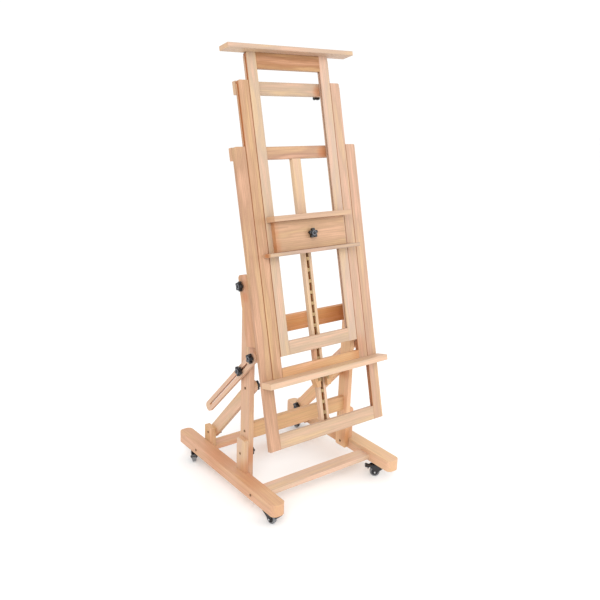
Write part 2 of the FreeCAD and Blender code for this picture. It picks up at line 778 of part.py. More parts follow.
prism(holder_knob, "XY", [("0", "holder_knob_up", "bolt_radius")],
      "inner_back + 2", "holder_deep + 2 * gap")
lean(holder_knob)

# ---- tilt braces and their clamp knobs


def hang(body):
    """Place a piece drawn along +Y from the tilt pin onto its line."""
    body.Placement = FreeCAD.Placement(
        FreeCAD.Vector(0, 0, 0),
        FreeCAD.Rotation(FreeCAD.Vector(1, 0, 0), -45))
    body.setExpression("Placement.Base.y", bind("pin_line"))
    body.setExpression("Placement.Base.z", bind("pin_height"))
    body.setExpression("Placement.Rotation.Angle", bind("-slot_drop"))


for name, side in sides:
    link = node("slotted_brace_" + name)
    reach = span(side, "slot_inner", "slot_outer")
    prism(link, "YZ",
          box("-slot_half", "slot_end", "-slot_half", "slot_half"), *reach)
    dress(link, "Fillet", "slot_half - 0.1",
          lambda edge: along(edge, "x"))
    slot = hollow(link, "YZ",
                  box("slot_start", "slot_stop", "-slot_width / 2",
                      "slot_width / 2"),
                  *span(side, "slot_inner - 1", "slot_outer + 1"))
    dress(link, "Fillet", "slot_width / 2 - 0.1",
          lambda edge: along(edge, "x")
          and abs(edge.BoundBox.Center.z) < 6)
    hollow(link, "YZ", [("0", "0", "pin_hole")],
           *span(side, "slot_inner - 1", "slot_outer + 1"))
    hang(link)

for name, side in sides:
    knob = node("tilt_clamp_knob_" + name)
    face = "slot_outer + gap" if side > 0 else "-slot_outer - gap"
    star(knob, "YZ", face, side, "clamp_reach", "0")
    prism(knob, "YZ", [("clamp_reach", "0", "bolt_radius")],
          *span(side, "side_inner", "slot_outer + gap"))
    prism(knob, "YZ", [("clamp_reach", "0", "9")],
          *span(side, "side_inner", "tongue_face"))
    hang(knob)

# ---- checks and export

doc.recompute()
for item in doc.Objects:
    states = [str(state) for state in item.State]
    if "Invalid" in states or "Error" in states:
        raise RuntimeError(f"{item.Label} did not build")
os.makedirs("parts", exist_ok=True)
for old in os.listdir("parts"):
    os.remove(os.path.join("parts", old))
for body in nodes:
    if body.Shape.isNull() or not body.Shape.isValid():
        raise RuntimeError(f"{body.Label} has no valid shape")
    body.Shape.exportStep(f"parts/{body.Label}.step")
    bounds = body.Shape.BoundBox
    print(f"{body.Label}: {len(body.Shape.Solids)} solid(s),"
          f" {bounds.XLength:.0f} x {bounds.YLength:.0f}"
          f" x {bounds.ZLength:.0f} mm")
print(len(nodes), "nodes")
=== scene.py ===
import json
import math

import bpy
from mathutils import Matrix, Vector


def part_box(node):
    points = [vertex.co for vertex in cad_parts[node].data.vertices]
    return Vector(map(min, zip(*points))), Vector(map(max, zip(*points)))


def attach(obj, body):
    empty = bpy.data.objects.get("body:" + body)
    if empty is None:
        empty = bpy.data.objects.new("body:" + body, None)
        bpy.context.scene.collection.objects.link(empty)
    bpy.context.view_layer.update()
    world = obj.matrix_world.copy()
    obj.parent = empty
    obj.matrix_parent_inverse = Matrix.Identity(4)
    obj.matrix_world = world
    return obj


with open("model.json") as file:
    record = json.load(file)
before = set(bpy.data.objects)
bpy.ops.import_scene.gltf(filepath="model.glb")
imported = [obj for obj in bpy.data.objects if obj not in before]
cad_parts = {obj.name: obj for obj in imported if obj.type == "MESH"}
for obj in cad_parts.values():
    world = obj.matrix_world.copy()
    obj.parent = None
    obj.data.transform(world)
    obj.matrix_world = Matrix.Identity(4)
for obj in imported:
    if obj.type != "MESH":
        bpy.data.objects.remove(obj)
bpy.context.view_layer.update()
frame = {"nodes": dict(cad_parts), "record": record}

nodes = frame["nodes"]
joints = {joint["name"]: joint
          for joint in frame["record"]["behaviour"]["joints"]}
mm = 0.001
print("frame loaded:", len(nodes), "nodes")

# The leaning frame has axes of its own: across, up it, and out of its face.
tiltPivot = Vector(joints["frame_tilt"]["pos_m"])
frameUp = Vector(joints["middle_panel_slide"]["axis"]).normalized()
frameOut = Vector((1, 0, 0)).cross(frameUp)
pivotUp, pivotBack = 675.5 * mm, 66 * mm  # the tilt pivot, on those axes
frameFoot = tiltPivot - pivotUp * frameUp + pivotBack * frameOut


def onFrame(across, up, out):
    return Vector((across, 0, 0)) + frameFoot + up * frameUp + out * frameOut


def toLinear(hexText):
    parts = [int(hexText[place:place + 2], 16) / 255 for place in (1, 3, 5)]
    return [part / 12.92 if part <= 0.04045
            else ((part + 0.055) / 1.055) ** 2.4 for part in parts] + [1]


def addNode(tree, kind, links=None, **settings):
    # settings are the node's own, links its inputs: a socket or a value
    made = tree.nodes.new(kind)
    for name, setting in settings.items():
        setattr(made, name, setting)
    for name, source in (links or {}).items():
        if isinstance(source, bpy.types.NodeSocket):
            tree.links.new(source, made.inputs[name])
        else:
            made.inputs[name].default_value = source
    return made


def newMaterial(name):
    material = bpy.data.materials.new(name)
    material.use_nodes = True
    tree = material.node_tree
    return material, tree, tree.nodes["Principled BSDF"]


def setStops(ramp, stops):
    elements = ramp.color_ramp.elements
    while len(elements) < len(stops):
        elements.new(0.5)
    for element, (place, colour) in zip(elements, stops):
        element.position = place
        element.color = toLinear(colour)


def blendHex(first, second, share):
    mixed = [round(int(first[k:k + 2], 16) * (1 - share)
                   + int(second[k:k + 2], 16) * share) for k in (1, 3, 5)]
    return "#%02x%02x%02x" % tuple(mixed)


def shadeHex(hexText, share):
    # the same hue with its light scaled
    parts = [part * share for part in toLinear(hexText)[:3]]
    coded = [min(1.0, 12.92 * part if part <= 0.0031308
                 else 1.055 * part ** (1 / 2.4) - 0.055) for part in parts]
    return "#%02x%02x%02x" % tuple(round(255 * part) for part in coded)


# Steamed beech, planed, sanded and oiled: a pinkish tan with broad pink and
# golden patches, soft growth lines, fine fibres and short dark ray flecks.
# A shade is how light a mark is beside its board, a share how far it shows.
# Fibres and flecks are drawn a few times wider than real ones, to show.
beech = {
    "pink": "#e6b397", "gold": "#dcb987", "endGrain": "#cda176",
    # painted shade: the colours on the next line and the shares that go with
    # them
    "cornerShade": "#a05f31", "slotShade": "#d98a52", "poolShade": "#b0602a",
    "lineShade": 0.74, "fibreShade": 0.80, "fleckShade": 0.60,
    "lineShare": 0.5, "fibreShare": 0.6, "fleckShare": 0.32,
    "patchShare": 0.48, "endShare": 0.4, "poolShadeShare": 0.75,
    "cornerShadeShare": 0.68, "holderShadeShare": 0.5, "cornerShadeReach": 14,
    "seamShare": 0.9, "seamHalf": 1.0, "seamFade": 2.3,
    "flankShadeShare": 0.25, "outerFlankShadeShare": 0.1,
    "ringSpacing": 7.0, "pithDepth": 60, "patchesPerMetre": (4, 34, 34),
    "fibreWidth": 2.6, "fibreLength": 120,
    "fleckWidth": 2.6, "fleckLength": 12, "roughness": 0.46,
}

# The groove behind the rack, in mm. Its mouth lies 23 behind the leaning
# frame's zero. Painted shade darkens it from 6 deep to just past its floor,
# and 9 each way from the middle.
rackPocket = {"mouth": 23, "fade": 6, "floorNear": 16, "floorFar": 18,
              "half": 9, "halfFade": 9.4}

# Painted shade, in soft orange pools on the boards. Each pool is a place in
# its board's box, from 0 to 1 on each axis, its reach in mm and its strength.
shadePools = {
    "middle_top_rail": [((0.79, 0.1, 0.4), 36, 0.6)],
    "outer_top_rail": [((0.73, 0.2, 0.5), 40, 0.65)],
    "upper_cross_rail": [((0.95, 0, 0.5), 200, 0.45)],
    "holder_panel": [((0, 0.8, 0.9), 34, 0.5), ((0, 0.6, 0.6), 34, 0.5),
                     ((0, 0.4, 0.3), 34, 0.5), ((0, 0.25, 0.1), 34, 0.5)],
    "holder_lip": [((0, 0.5, 0.5), 26, 0.8)],
    "runner_left": [((0.9, 0.58, 1), 150, 0.4), ((0.9, 0.26, 1), 120, 0.35)],
    "runner_right": [((0, 0.47, 0.44), 70, 0.45)],
    "upright_left": [((0.12, 0, 0.14), 70, 0.55)],
    "upright_right": [((0.83, 0, 0.06), 70, 0.6), ((0, 0.44, 0.42), 50, 0.6)],
    "front_post_left": [((0.7, 0, 0.1), 70, 0.5)],
    "side_board_left": [((0, 0.65, 0.74), 32, 0.5)],
    "middle_bottom_rail": [((1, 0.85, 0.97), 60, 0.5)],
    "middle_stile_right": [((0.15, 0.04, 0.07), 70, 0.35)],
    "mast": [((0.1, 0.3, 0.3), 42, 0.5)],
    "diagonal_brace_left": [((0, 0.83, 0.07), 50, 0.45)],
}


def beechBoard(node, tint, along, seed, seams=()):
    # along is the grain's direction, and seed gives the board its own figure
    material, tree, shader = newMaterial("oiledBeech_" + node)
    low, high = (Vector(corner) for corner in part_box(node))
    along = Vector(along).normalized()
    across = along.cross(Vector((0.31, 0.42, 0.85))).normalized()
    if abs(along.x) < 0.5:
        across = Vector((1, 0, 0))
        across = (across - across.dot(along) * along).normalized()
    face = along.cross(across)
    turn = Matrix((along, across, face))
    spin, depth = seed * 2.4, beech["pithDepth"] * mm
    pith = Vector((seed * 0.731, depth * math.cos(spin),
                   depth * (0.6 + 0.4 * math.sin(spin))))
    place = pith - turn @ ((low + high) / 2)

    coords = addNode(tree, "ShaderNodeTexCoord")
    board = addNode(tree, "ShaderNodeMapping", {
        "Vector": coords.outputs["Object"], "Location": place,
        "Rotation": turn.to_euler()})
    stretched = addNode(tree, "ShaderNodeMapping", {
        "Vector": board.outputs["Vector"], "Scale": (0.05, 1, 1)})
    # this node's rings stand 0.314 / scale apart
    rings = addNode(tree, "ShaderNodeTexWave", {
        "Vector": stretched.outputs["Vector"],
        "Scale": 0.314 / (beech["ringSpacing"] * mm), "Distortion": 5.0,
        "Detail": 2.0, "Detail Scale": 0.8, "Detail Roughness": 0.55},
        wave_type="RINGS", rings_direction="X", wave_profile="SAW")
    fibreSpace = addNode(tree, "ShaderNodeMapping", {
        "Vector": board.outputs["Vector"],
        "Scale": (1 / (beech["fibreLength"] * mm),
                  1 / (beech["fibreWidth"] * mm),
                  1 / (beech["fibreWidth"] * mm))})
    fibres = addNode(tree, "ShaderNodeTexNoise", {
        "Vector": fibreSpace.outputs["Vector"], "Scale": 1.0,
        "Detail": 3.0, "Roughness": 0.6})
    patchSpace = addNode(tree, "ShaderNodeMapping", {
        "Vector": board.outputs["Vector"],
        "Scale": beech["patchesPerMetre"]})
    patches = addNode(tree, "ShaderNodeTexNoise", {
        "Vector": patchSpace.outputs["Vector"], "Scale": 1.0,
        "Detail": 2.0, "Roughness": 0.5})
    fleckSpace = addNode(tree, "ShaderNodeMapping", {
        "Vector": board.outputs["Vector"],
        "Scale": (1 / (beech["fleckLength"] * mm),
                  1 / (beech["fleckWidth"] * mm),
                  1 / (beech["fleckWidth"] * mm))})
    cells = addNode(tree, "ShaderNodeTexVoronoi", {
        "Vector": fleckSpace.outputs["Vector"], "Scale": 1.0,
        "Randomness": 1.0})
    fleckMask = addNode(tree, "ShaderNodeMapRange", {
        "Value": cells.outputs["Distance"], "From Min": 0.10,
        "From Max": 0.26, "To Min": beech["fleckShare"], "To Max": 0.0})

    hues = addNode(tree, "ShaderNodeValToRGB", {"Fac": patches.outputs["Fac"]})
    setStops(hues, [
        (0.34, blendHex(tint, beech["pink"], beech["patchShare"])),
        (0.50, tint),
        (0.66, blendHex(tint, beech["gold"], beech["patchShare"]))])
    ringMask = addNode(tree, "ShaderNodeMapRange", {
        "Value": rings.outputs["Fac"], "From Min": 0.55, "From Max": 1.0,
        "To Min": 0.0, "To Max": beech["lineShare"]})
    fibreMask = addNode(tree, "ShaderNodeMapRange", {
        "Value": fibres.outputs["Fac"], "From Min": 0.42, "From Max": 0.72,
        "To Min": 0.0, "To Max": beech["fibreShare"]})
    colour = hues.outputs["Color"]
    for mask, shade in ((ringMask, beech["lineShade"]),
                        (fibreMask, beech["fibreShade"]),
                        (fleckMask, beech["fleckShade"])):
        layer = addNode(tree, "ShaderNodeMix", {
            "Factor": mask.outputs["Result"], 6: colour,
            7: toLinear(shadeHex(tint, shade))}, data_type="RGBA")
        colour = layer.outputs[2]

    # sawn ends drink more oil and turn darker
    facing = addNode(tree, "ShaderNodeVectorMath", {
        0: coords.outputs["Normal"], 1: along}, operation="DOT_PRODUCT")
    towards = addNode(tree, "ShaderNodeMath", {
        0: facing.outputs["Value"]}, operation="ABSOLUTE")
    endMask = addNode(tree, "ShaderNodeMapRange", {
        "Value": towards.outputs["Value"], "From Min": 0.7,
        "From Max": 0.95, "To Min": 0.0, "To Max": beech["endShare"]})
    layer = addNode(tree, "ShaderNodeMix", {
        "Factor": endMask.outputs["Result"], 6: colour,
        7: toLinear(beech["endGrain"])}, data_type="RGBA")
    colour = layer.outputs[2]

    # each pool of painted shade: full over its inner fifth, fading to its
    # reach
    for spot, reach, strength in shadePools.get(node, ()):
        middle = [low[k] + spot[k] * (high[k] - low[k]) for k in range(3)]
        away = addNode(tree, "ShaderNodeVectorMath", {
            0: coords.outputs["Object"], 1: middle}, operation="DISTANCE")
        pool = addNode(tree, "ShaderNodeMapRange", {
            "Value": away.outputs["Value"], "From Min": 0.2 * reach * mm,
            "From Max": reach * mm, "To Min": strength, "To Max": 0.0},
            interpolation_type="SMOOTHSTEP")
        layer = addNode(tree, "ShaderNodeMix", {
            "Factor": pool.outputs["Result"], 6: colour,
            7: toLinear(blendHex(tint, beech["poolShade"], beech["poolShadeShare"]))},
            data_type="RGBA")
        colour = layer.outputs[2]

    # painted shade darkens the inside corners and the gaps of the sliding
    # joints, a little less on the holder's boards
    nearby = addNode(tree, "ShaderNodeAmbientOcclusion", {
        "Distance": beech["cornerShadeReach"] * mm}, samples=6)
    share = "holderShadeShare" if node.startswith("holder") else "cornerShadeShare"
    cornerShadeMask = addNode(tree, "ShaderNodeMapRange", {
        "Value": nearby.outputs["AO"], "From Min": 0.06, "From Max": 0.42,
        "To Min": beech[share], "To Max": 0.0})
    shadeAndJoints = cornerShadeMask.outputs["Result"]
    if node == "mast":
        # painted shade in the pocket behind the rack, where no light reaches
        depthIn = addNode(tree, "ShaderNodeVectorMath", {
            0: coords.outputs["Object"], 1: frameOut},
            operation="DOT_PRODUCT")
        mouth = frameFoot.dot(frameOut) - rackPocket["mouth"] * mm
        pocket = addNode(tree, "ShaderNodeMapRange", {
            "Value": depthIn.outputs["Value"],
            "From Min": mouth - rackPocket["fade"] * mm,
            "From Max": mouth, "To Min": 1.0, "To Max": 0.0})
        behind = addNode(tree, "ShaderNodeMapRange", {
            "Value": depthIn.outputs["Value"],
            "From Min": mouth - rackPocket["floorFar"] * mm,
            "From Max": mouth - rackPocket["floorNear"] * mm,
            "To Min": 0.0, "To Max": 1.0})
        places = addNode(tree, "ShaderNodeSeparateXYZ", {
            "Vector": coords.outputs["Object"]})
        offCentre = addNode(tree, "ShaderNodeMath", {
            0: places.outputs["X"]}, operation="ABSOLUTE")
        within = addNode(tree, "ShaderNodeMapRange", {
            "Value": offCentre.outputs["Value"],
            "From Min": rackPocket["half"] * mm,
            "From Max": rackPocket["halfFade"] * mm,
            "To Min": 1.0, "To Max": 0.0})
        both = addNode(tree, "ShaderNodeMath", {
            0: pocket.outputs["Result"], 1: behind.outputs["Result"]},
            operation="MULTIPLY")
        inside = addNode(tree, "ShaderNodeMath", {
            0: both.outputs["Value"], 1: within.outputs["Result"]},
            operation="MULTIPLY")
        darkest = addNode(tree, "ShaderNodeMath", {
            0: shadeAndJoints, 1: inside.outputs["Value"]}, operation="MAXIMUM")
        shadeAndJoints = darkest.outputs["Value"]
    if seams:
        # dark sliding joints at each seam's place across, and painted shade on
        # the flanks
        share = "outerFlankShadeShare" if "outer" in node else "flankShadeShare"
        places = addNode(tree, "ShaderNodeSeparateXYZ", {
            "Vector": coords.outputs["Object"]})
        sides = addNode(tree, "ShaderNodeSeparateXYZ", {
            "Vector": coords.outputs["Normal"]})
        sideways = addNode(tree, "ShaderNodeMath", {
            0: sides.outputs["X"]}, operation="ABSOLUTE")
        flankShade = addNode(tree, "ShaderNodeMapRange", {
            "Value": sideways.outputs["Value"], "From Min": 0.8,
            "From Max": 0.95, "To Min": 0.0, "To Max": beech[share]})
        darkest = addNode(tree, "ShaderNodeMath", {
            0: shadeAndJoints, 1: flankShade.outputs["Result"]}, operation="MAXIMUM")
        shadeAndJoints = darkest.outputs["Value"]
        for seam in seams:
            off = addNode(tree, "ShaderNodeMath", {
                0: places.outputs["X"], 1: seam}, operation="SUBTRACT")
            away = addNode(tree, "ShaderNodeMath", {
                0: off.outputs["Value"]}, operation="ABSOLUTE")
            band = addNode(tree, "ShaderNodeMapRange", {
                "Value": away.outputs["Value"],
                "From Min": beech["seamHalf"] * mm,
                "From Max": beech["seamFade"] * mm,
                "To Min": beech["seamShare"], "To Max": 0.0})
            darkest = addNode(tree, "ShaderNodeMath", {
                0: shadeAndJoints, 1: band.outputs["Result"]},
                operation="MAXIMUM")
            shadeAndJoints = darkest.outputs["Value"]
    # the colour of the painted shade and of the dark joints, paler in slots
    shadeAndJointColour = beech["slotShade"] if "slotted" in node else beech["cornerShade"]
    layer = addNode(tree, "ShaderNodeMix", {
        "Factor": shadeAndJoints, 6: colour, 7: toLinear(shadeAndJointColour)}, data_type="RGBA")
    tree.links.new(layer.outputs[2], shader.inputs["Base Color"])

    sheen = addNode(tree, "ShaderNodeMapRange", {
        "Value": fibres.outputs["Fac"],
        "To Min": beech["roughness"] - 0.07,
        "To Max": beech["roughness"] + 0.09})
    tree.links.new(sheen.outputs["Result"], shader.inputs["Roughness"])
    bump = addNode(tree, "ShaderNodeBump", {
        "Strength": 0.25, "Distance": 0.25 * mm,
        "Height": fibres.outputs["Fac"]})
    tree.links.new(bump.outputs["Normal"], shader.inputs["Normal"])
    shader.inputs["IOR"].default_value = 1.5
    shader.inputs["Specular IOR Level"].default_value = 0.35
    return material


def dress(node, material):
    for spot in nodes[node].material_slots:
        spot.material = material


def mouldedPlastic(name, dark, light, roughLow, roughHigh, glint=0.5):
    # glass-filled nylon, moulded with a spark-eroded grain that softens its
    # lights; the grain is drawn several times coarser than real, to show
    material, tree, shader = newMaterial(name)
    coords = addNode(tree, "ShaderNodeTexCoord")
    grain = addNode(tree, "ShaderNodeTexNoise", {
        "Vector": coords.outputs["Object"], "Scale": 1 / (0.9 * mm),
        "Detail": 2.0})
    shade = addNode(tree, "ShaderNodeValToRGB", {"Fac": grain.outputs["Fac"]})
    setStops(shade, [(0.3, dark), (0.7, light)])
    tree.links.new(shade.outputs["Color"], shader.inputs["Base Color"])
    rough = addNode(tree, "ShaderNodeMapRange", {
        "Value": grain.outputs["Fac"], "To Min": roughLow,
        "To Max": roughHigh})
    tree.links.new(rough.outputs["Result"], shader.inputs["Roughness"])
    bump = addNode(tree, "ShaderNodeBump", {
        "Strength": 0.3, "Distance": 0.15 * mm,
        "Height": grain.outputs["Fac"]})
    tree.links.new(bump.outputs["Normal"], shader.inputs["Normal"])
    shader.inputs["IOR"].default_value = 1.52
    shader.inputs["Specular IOR Level"].default_value = glint
    return material


def blackEnamel():
    # pressed steel, powder coated black: a slight orange peel breaks up its
    # reflections
    material, tree, shader = newMaterial("powderCoatedSteel")
    coords = addNode(tree, "ShaderNodeTexCoord")
    peel = addNode(tree, "ShaderNodeTexNoise", {
        "Vector": coords.outputs["Object"], "Scale": 1 / (1.6 * mm),
        "Detail": 1.0})
    shade = addNode(tree, "ShaderNodeValToRGB", {"Fac": peel.outputs["Fac"]})
    setStops(shade, [(0.3, "#17171a"), (0.7, "#26262a")])
    tree.links.new(shade.outputs["Color"], shader.inputs["Base Color"])
    rough = addNode(tree, "ShaderNodeMapRange", {
        "Value": peel.outputs["Fac"], "To Min": 0.25, "To Max": 0.4})
    tree.links.new(rough.outputs["Result"], shader.inputs["Roughness"])
    bump = addNode(tree, "ShaderNodeBump", {
        "Strength": 0.2, "Distance": 0.1 * mm,
        "Height": peel.outputs["Fac"]})
    tree.links.new(bump.outputs["Normal"], shader.inputs["Normal"])
    return material


# thermoplastic rubber tread, mid grey, dusty and matt, moulded round a black
# polypropylene hub with a faint sheen
wheel = {"treadDark": "#67686b", "treadLight": "#87888a", "hub": "#1c1c1f",
         "dustSize": 7, "hubEdge": 15.6, "treadEdge": 16.2,
         "hubRough": 0.36, "treadRough": 0.62}


def castorWheel(name, centre, axle):
    material, tree, shader = newMaterial("castorWheel_" + name)
    coords = addNode(tree, "ShaderNodeTexCoord")
    dust = addNode(tree, "ShaderNodeTexNoise", {
        "Vector": coords.outputs["Object"],
        "Scale": 1 / (wheel["dustSize"] * mm),
        "Detail": 4.0, "Roughness": 0.7})
    off = addNode(tree, "ShaderNodeVectorMath", {
        0: coords.outputs["Object"], 1: centre}, operation="SUBTRACT")
    aside = addNode(tree, "ShaderNodeVectorMath", {
        0: off.outputs["Vector"], 1: axle}, operation="CROSS_PRODUCT")
    fromAxle = addNode(tree, "ShaderNodeVectorMath", {
        0: aside.outputs["Vector"]}, operation="LENGTH")
    isTread = addNode(tree, "ShaderNodeMapRange", {
        "Value": fromAxle.outputs["Value"],
        "From Min": wheel["hubEdge"] * mm,
        "From Max": wheel["treadEdge"] * mm})
    tread = addNode(tree, "ShaderNodeValToRGB", {"Fac": dust.outputs["Fac"]})
    setStops(tread, [(0.3, wheel["treadDark"]), (0.7, wheel["treadLight"])])
    shade = addNode(tree, "ShaderNodeMix", {
        "Factor": isTread.outputs["Result"], 6: toLinear(wheel["hub"]),
        7: tread.outputs["Color"]}, data_type="RGBA")
    tree.links.new(shade.outputs[2], shader.inputs["Base Color"])
    rough = addNode(tree, "ShaderNodeMapRange", {
        "Value": isTread.outputs["Result"], "To Min": wheel["hubRough"],
        "To Max": wheel["treadRough"]})
    tree.links.new(rough.outputs["Result"], shader.inputs["Roughness"])
    bump = addNode(tree, "ShaderNodeBump", {
        "Strength": 0.25, "Distance": 0.12 * mm,
        "Height": dust.outputs["Fac"]})
    tree.links.new(bump.outputs["Normal"], shader.inputs["Normal"])
    return material


def stampedMetal(name, dark, light, roughLow, roughHigh):
    # stamped sheet, tumbled: a satin face, darker in patches from handling
    material, tree, shader = newMaterial(name)
    coords = addNode(tree, "ShaderNodeTexCoord")
    marks = addNode(tree, "ShaderNodeTexNoise", {
        "Vector": coords.outputs["Object"], "Scale": 1 / (9 * mm),
        "Detail": 5.0, "Roughness": 0.65})
    shade = addNode(tree, "ShaderNodeValToRGB", {"Fac": marks.outputs["Fac"]})
    setStops(shade, [(0.3, dark), (0.7, light)])
    tree.links.new(shade.outputs["Color"], shader.inputs["Base Color"])
    rough = addNode(tree, "ShaderNodeMapRange", {
        "Value": marks.outputs["Fac"], "To Min": roughLow,
        "To Max": roughHigh})
    tree.links.new(rough.outputs["Result"], shader.inputs["Roughness"])
    shader.inputs["Metallic"].default_value = 1.0
    return material


nylon = mouldedPlastic("mouldedBlackNylon", "#121214", "#1f1f22", 0.30, 0.46)
# a grey for the rings of the knobs' caps: a painted highlight
highlightGrey = mouldedPlastic("highlightGreyNylon", "#52535a", "#6c6d75", 0.26, 0.36)
# the hollow of each knob's cap is matt and painted darker than the knob, as
# shade, for little light gets into it
hollowShadeNylon = mouldedPlastic("hollowShadeBlackNylon", "#060607", "#0c0c0d", 0.7, 0.85,
                           glint=0.1)
enamel = blackEnamel()
brass = stampedMetal("stampedBrass", "#86694a", "#bda47c", 0.40, 0.55)
bronze = stampedMetal("antiqueBronzePlate", "#6d5540", "#8f7458", 0.38, 0.52)
zinc = stampedMetal("brightZincPlate", "#a9abae", "#cfd1d3", 0.22, 0.36)

# ways that a board's grain can run
grain = {
    "x": Vector((1, 0, 0)), "y": Vector((0, 1, 0)), "z": Vector((0, 0, 1)),
    "up": frameUp, "brace": Vector((0, -0.676, 0.737)),
    "slot": Vector(joints["tilt_clamp_slide_left"]["axis"]),
}
halfGap = 0.65 * mm  # from a stile's edge to the middle of its sliding joint
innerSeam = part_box("middle_stile_right")[0][0] - halfGap
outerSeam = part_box("outer_stile_right")[0][0] - halfGap
# node: oiled colour with painted light and shade mixed in, grain direction,
# seed of its figure, sliding joints
boards = {
    "runner_left": ("#ca9c7b", "y", 1.3),
    "runner_right": ("#d8b18d", "y", 2.1),
    "front_crossbar": ("#d3b59c", "x", 3.7),
    "rear_crossbar": ("#d5a483", "x", 4.4),
    "upright_left": ("#c79f82", "z", 5.2),
    "upright_right": ("#e2b78e", "z", 6.6),
    "front_post_left": ("#cba98f", "z", 7.9),
    "front_post_right": ("#cf9c77", "z", 8.3),
    "rear_post_left": ("#c9a276", "z", 9.1),
    "rear_post_right": ("#cf9c77", "z", 10.4),
    "diagonal_brace_left": ("#cdad8f", "brace", 11.2),
    "diagonal_brace_right": ("#e8bb8f", "brace", 12.8),
    "lower_cross_rail": ("#cfa579", "x", 13.5),
    "upper_cross_rail": ("#cf925c", "x", 14.6),
    "outer_stile_left": ("#b0886b", "up", 15.3, (-outerSeam,)),
    "outer_stile_right": ("#b9957c", "up", 16.2, (outerSeam,)),
    "outer_bottom_rail": ("#bea085", "x", 17.8),
    "outer_top_rail": ("#aa8269", "x", 18.1),
    "mast": ("#c8aa8e", "up", 19.7),
    "side_board_left": ("#bb8966", "up", 20.9),
    "side_board_right": ("#d0a080", "up", 21.4),
    "middle_stile_left": ("#b38c6b", "up", 22.2, (-innerSeam, -outerSeam)),
    "middle_stile_right": ("#ba9981", "up", 23.6, (innerSeam, outerSeam)),
    "middle_bottom_rail": ("#cc9d71", "x", 24.3),
    "middle_top_rail": ("#b49a82", "x", 25.5),
    "canvas_ledge": ("#caad91", "x", 26.1),
    "inner_stile_left": ("#bba28a", "up", 27.4, (-innerSeam,)),
    "inner_stile_right": ("#bfa591", "up", 28.8, (innerSeam,)),
    "inner_bottom_rail": ("#bba188", "x", 29.2),
    "inner_top_rail": ("#a3734d", "x", 30.7),
    "top_ledge": ("#bca18b", "x", 31.6),
    "holder_panel": ("#b79271", "x", 32.9),
    "holder_top_board": ("#bd9b81", "x", 33.8),
    "holder_lip": ("#ac917f", "x", 34.4),
    "holder_clamp_bar": ("#d0a283", "x", 35.7),
    "slotted_brace_left": ("#cfa98e", "slot", 36.3),
    "slotted_brace_right": ("#dab093", "slot", 37.5),
}
for node, (tint, direction, seed, *seams) in boards.items():
    dress(node, beechBoard(node, tint, grain[direction], seed, *seams))
for node in nodes:
    if "knob" in node:
        dress(node, nylon)
    elif node.startswith(("caster_fork", "caster_plates", "brake_pedal")):
        dress(node, enamel)
    elif node.startswith("caster_wheel"):
        spin = joints["wheel_spin" + node[len("caster_wheel"):]]
        dress(node, castorWheel(node[len("caster_wheel_"):], spin["pos_m"],
                                spin["axis"]))
    elif node in ("ratchet_rack", "ratchet_pawl"):
        dress(node, brass)
    elif node == "base_bolts":
        dress(node, bronze)
print("materials on", len(nodes), "nodes")

bodyOf = {node: body for body, group
          in frame["record"]["behaviour"]["bodies"].items() for node in group}
bpy.ops.object.select_all(action="DESELECT")


def startShape(name):
    # names the new primitive and opens it in edit mode, to pick faces
    piece = bpy.context.object
    piece.name = name
    bpy.ops.object.mode_set(mode="EDIT")
    bpy.ops.mesh.select_mode(type="FACE")
    return piece


def pickFaces(piece, wanted):
    bpy.ops.mesh.select_all(action="DESELECT")
    bpy.ops.object.mode_set(mode="OBJECT")
    for face in piece.data.polygons:
        face.select = wanted(face)
    bpy.ops.object.mode_set(mode="EDIT")


def endShape(piece, bevel=0.0):
    # eases the edges, points the faces outwards and smooths the round ones
    bpy.ops.object.mode_set(mode="OBJECT")
    if bevel:
        rounded = piece.modifiers.new("easedEdges", "BEVEL")
        rounded.width = bevel
        rounded.segments = 2
        rounded.limit_method = "ANGLE"
        rounded.angle_limit = math.radians(50)
        bpy.ops.object.modifier_apply(modifier=rounded.name)
    bpy.ops.object.mode_set(mode="EDIT")
    bpy.ops.mesh.select_all(action="SELECT")
    bpy.ops.mesh.remove_doubles(threshold=0.00001)
    bpy.ops.mesh.normals_make_consistent(inside=False)
    bpy.ops.object.mode_set(mode="OBJECT")
    bpy.ops.object.transform_apply(location=True, rotation=True, scale=True)
    bpy.ops.object.shade_smooth_by_angle(angle=math.radians(35))
    bpy.ops.object.select_all(action="DESELECT")


def sunkDisc(name, sides, size):
    # a short cylinder, its top inset to leave a wall and then sunk
    bpy.ops.mesh.primitive_cylinder_add(
        vertices=sides, radius=size["radius"] * mm, depth=size["high"] * mm)
    disc = startShape(name)
    pickFaces(disc, lambda face: face.normal.z > 0.9)
    bpy.ops.mesh.inset(thickness=size["wall"] * mm)
    bpy.ops.mesh.extrude_region_move(
        TRANSFORM_OT_translate={"value": (0, 0, -size["deep"] * mm)})
    endShape(disc, size["eased"] * mm)
    return disc


def flatRing(name, sides, size):
    # a torus pressed flatter
    bpy.ops.mesh.primitive_torus_add(
        major_radius=size["middle"] * mm, minor_radius=size["wall"] * mm,
        major_segments=sides, minor_segments=10)
    ring = startShape(name)
    bpy.ops.mesh.select_all(action="SELECT")
    bpy.ops.transform.resize(value=(1, 1, size["flatness"]))
    endShape(ring)
    return ring


def stamp(model, name, place, axis, body, material, up=None):
    # a copy with a mesh of its own, standing at place, its z turned to axis
    # and its y to up where that is given
    copy = model.copy()
    copy.data = model.data.copy()
    copy.name = name
    bpy.context.collection.objects.link(copy)
    axis = Vector(axis).normalized()
    spin = axis.to_track_quat("Z", "Y").to_matrix()
    if up is not None:
        spin = Matrix((Vector(up).cross(axis), up, axis)).transposed()
    copy.data.transform(Matrix.Translation(place) @ spin.to_4x4())
    copy.data.materials.clear()
    copy.data.materials.append(material)
    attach(copy, body)


